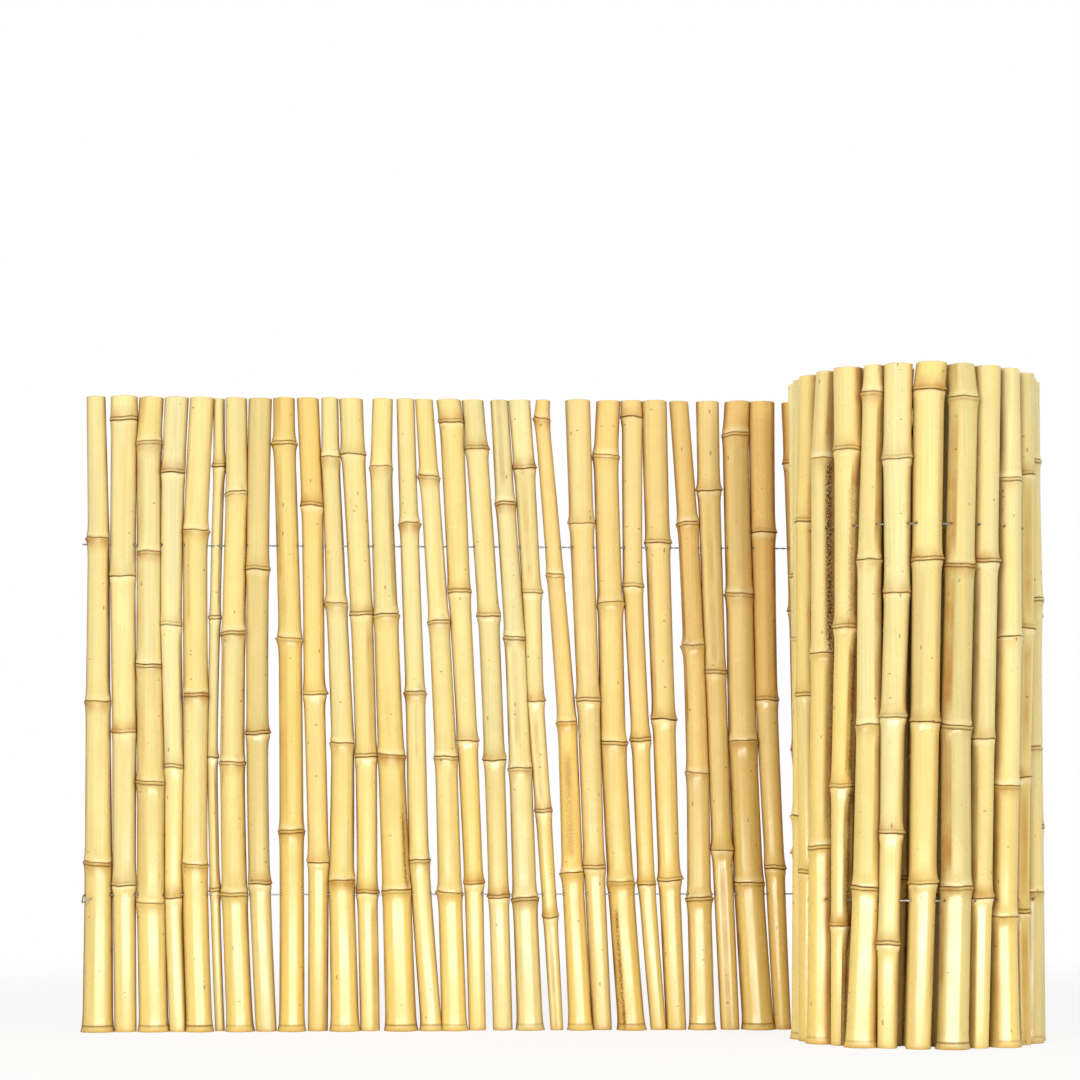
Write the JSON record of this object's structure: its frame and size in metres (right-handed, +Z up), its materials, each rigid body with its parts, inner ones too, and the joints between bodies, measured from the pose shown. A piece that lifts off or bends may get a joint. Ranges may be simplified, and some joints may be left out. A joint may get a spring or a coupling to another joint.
{
  "type": "rolled bamboo fence",
  "caption": "Bamboo fence of whole canes strung upright on two galvanised wires, part unrolled as a flat panel and part wound into a roll.",
  "frame": {"origin": "middle of the fence's outline on the floor it stands on", "axes": "+X along the unrolled panel towards the roll, +Y to the panel's back, +Z up along the canes"},
  "size_m": [0.9052, 0.2572, 0.61],
  "materials": {
    "bamboo": "natural waxy skin",
    "galvanised_wire": "dull galvanised"
  },
  "bodies": {
    "root": {"inner_turn_canes": "bamboo", "lower_wire": "galvanised_wire", "outer_turn_cane_01": "bamboo", "outer_turn_cane_02": "bamboo", "outer_turn_cane_03": "bamboo", "outer_turn_cane_04": "bamboo", "outer_turn_cane_05": "bamboo", "outer_turn_cane_06": "bamboo", "outer_turn_cane_07": "bamboo", "outer_turn_cane_08": "bamboo", "outer_turn_cane_09": "bamboo", "outer_turn_cane_10": "bamboo", "outer_turn_cane_11": "bamboo", "outer_turn_cane_12": "bamboo", "outer_turn_cane_13": "bamboo", "outer_turn_cane_14": "bamboo", "outer_turn_cane_15": "bamboo", "outer_turn_cane_16": "bamboo", "outer_turn_cane_17": "bamboo", "outer_turn_cane_18": "bamboo", "outer_turn_cane_19": "bamboo", "outer_turn_cane_20": "bamboo", "outer_turn_cane_21": "bamboo", "outer_turn_cane_22": "bamboo", "outer_turn_cane_23": "bamboo", "outer_turn_cane_24": "bamboo", "panel_cane_01": "bamboo", "panel_cane_02": "bamboo", "panel_cane_03": "bamboo", "panel_cane_04": "bamboo", "panel_cane_05": "bamboo", "panel_cane_06": "bamboo", "panel_cane_07": "bamboo", "panel_cane_08": "bamboo", "panel_cane_09": "bamboo", "panel_cane_10": "bamboo", "panel_cane_11": "bamboo", "panel_cane_12": "bamboo", "panel_cane_13": "bamboo", "panel_cane_14": "bamboo", "panel_cane_15": "bamboo", "panel_cane_16": "bamboo", "panel_cane_17": "bamboo", "panel_cane_18": "bamboo", "panel_cane_19": "bamboo", "panel_cane_20": "bamboo", "panel_cane_21": "bamboo", "panel_cane_22": "bamboo", "panel_cane_23": "bamboo", "panel_cane_24": "bamboo", "panel_cane_25": "bamboo", "panel_cane_26": "bamboo", "panel_cane_27": "bamboo", "panel_cane_28": "bamboo", "panel_cane_29": "bamboo", "panel_cane_30": "bamboo", "panel_cane_31": "bamboo", "panel_cane_32": "bamboo", "panel_cane_33": "bamboo", "upper_wire": "galvanised_wire"}
  },
  "joints": []
}
